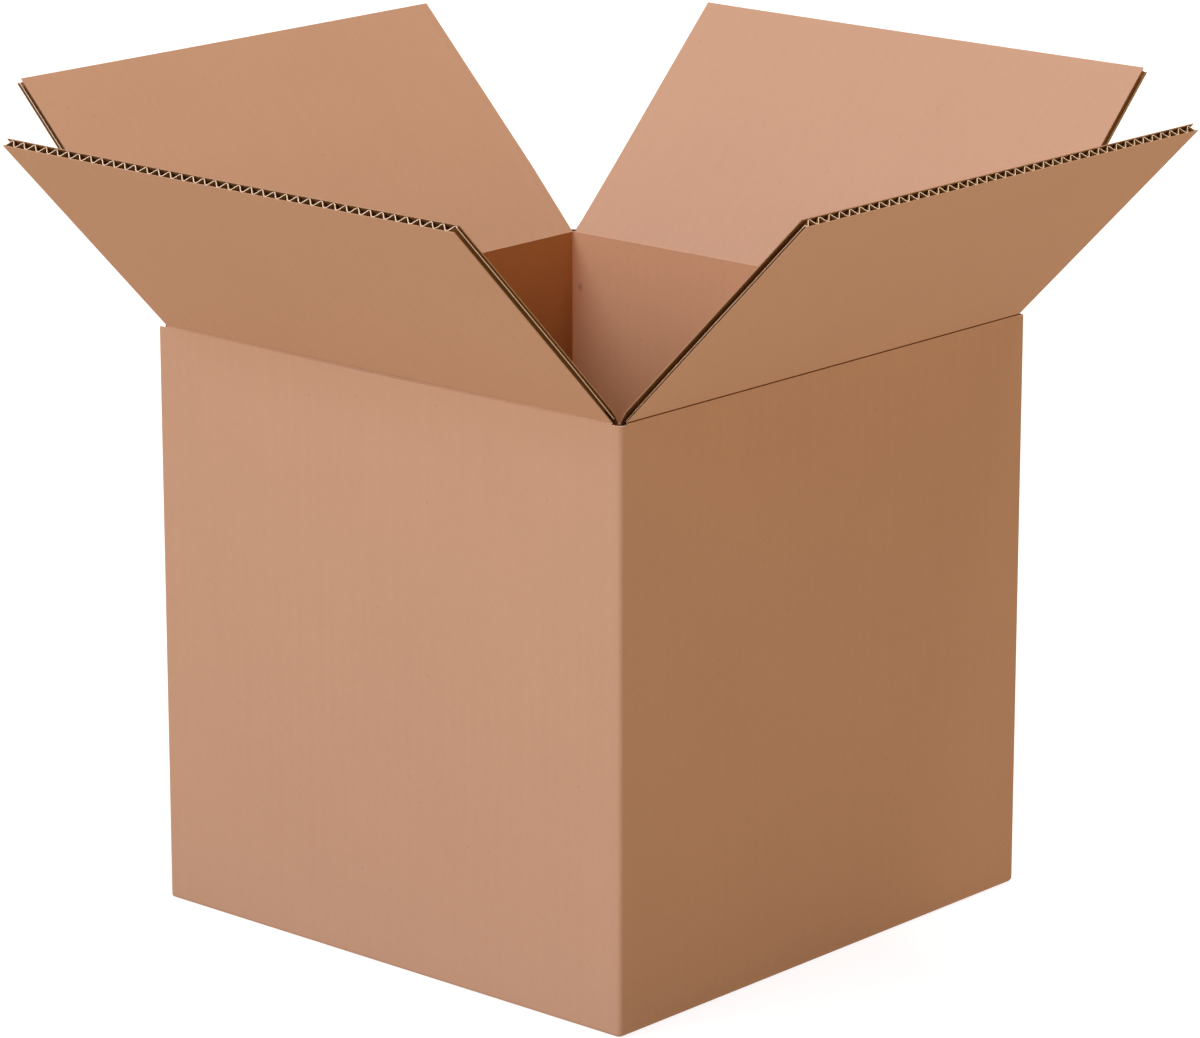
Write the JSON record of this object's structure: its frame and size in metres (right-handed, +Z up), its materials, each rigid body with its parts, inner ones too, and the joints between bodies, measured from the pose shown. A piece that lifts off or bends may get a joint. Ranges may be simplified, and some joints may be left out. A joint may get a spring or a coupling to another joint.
{
  "type": "open cardboard box",
  "caption": "Cube-shaped corrugated shipping box standing open, with hinged top flaps leaning outwards.",
  "frame": {"origin": "centre of the underside, on the surface that the box stands on", "axes": "+Z up; the front wall faces -Y and the right wall faces +X"},
  "size_m": [0.53, 0.5302, 0.422],
  "materials": {
    "kraft_board": "matt unprinted kraft paper",
    "parcel_tape": "smooth buff film"
  },
  "bodies": {
    "carton": {"box_body": "kraft_board", "bottom_tape": "parcel_tape"},
    "front_flap": {"front_flap": "kraft_board"},
    "right_flap": {"right_flap": "kraft_board"},
    "back_flap": {"back_flap": "kraft_board"},
    "left_flap": {"left_flap": "kraft_board"}
  },
  "joints": [
    {"name": "front_flap_fold", "type": "hinge", "parent": "carton", "child": "front_flap", "pos_m": [0, -0.15655, 0.30555], "axis": [1, 0, 0], "range_deg": [-134.6, 135.4]},
    {"name": "right_flap_fold", "type": "hinge", "parent": "carton", "child": "right_flap", "pos_m": [0.1567, 0, 0.3088], "axis": [0, 1, 0], "range_deg": [-134.6, 135.4]},
    {"name": "back_flap_fold", "type": "hinge", "parent": "carton", "child": "back_flap", "pos_m": [0, 0.15655, 0.30555], "axis": [-1, 0, 0], "range_deg": [-134.6, 135.4]},
    {"name": "left_flap_fold", "type": "hinge", "parent": "carton", "child": "left_flap", "pos_m": [-0.1567, 0, 0.3088], "axis": [0, -1, 0], "range_deg": [-134.6, 135.4]}
  ]
}
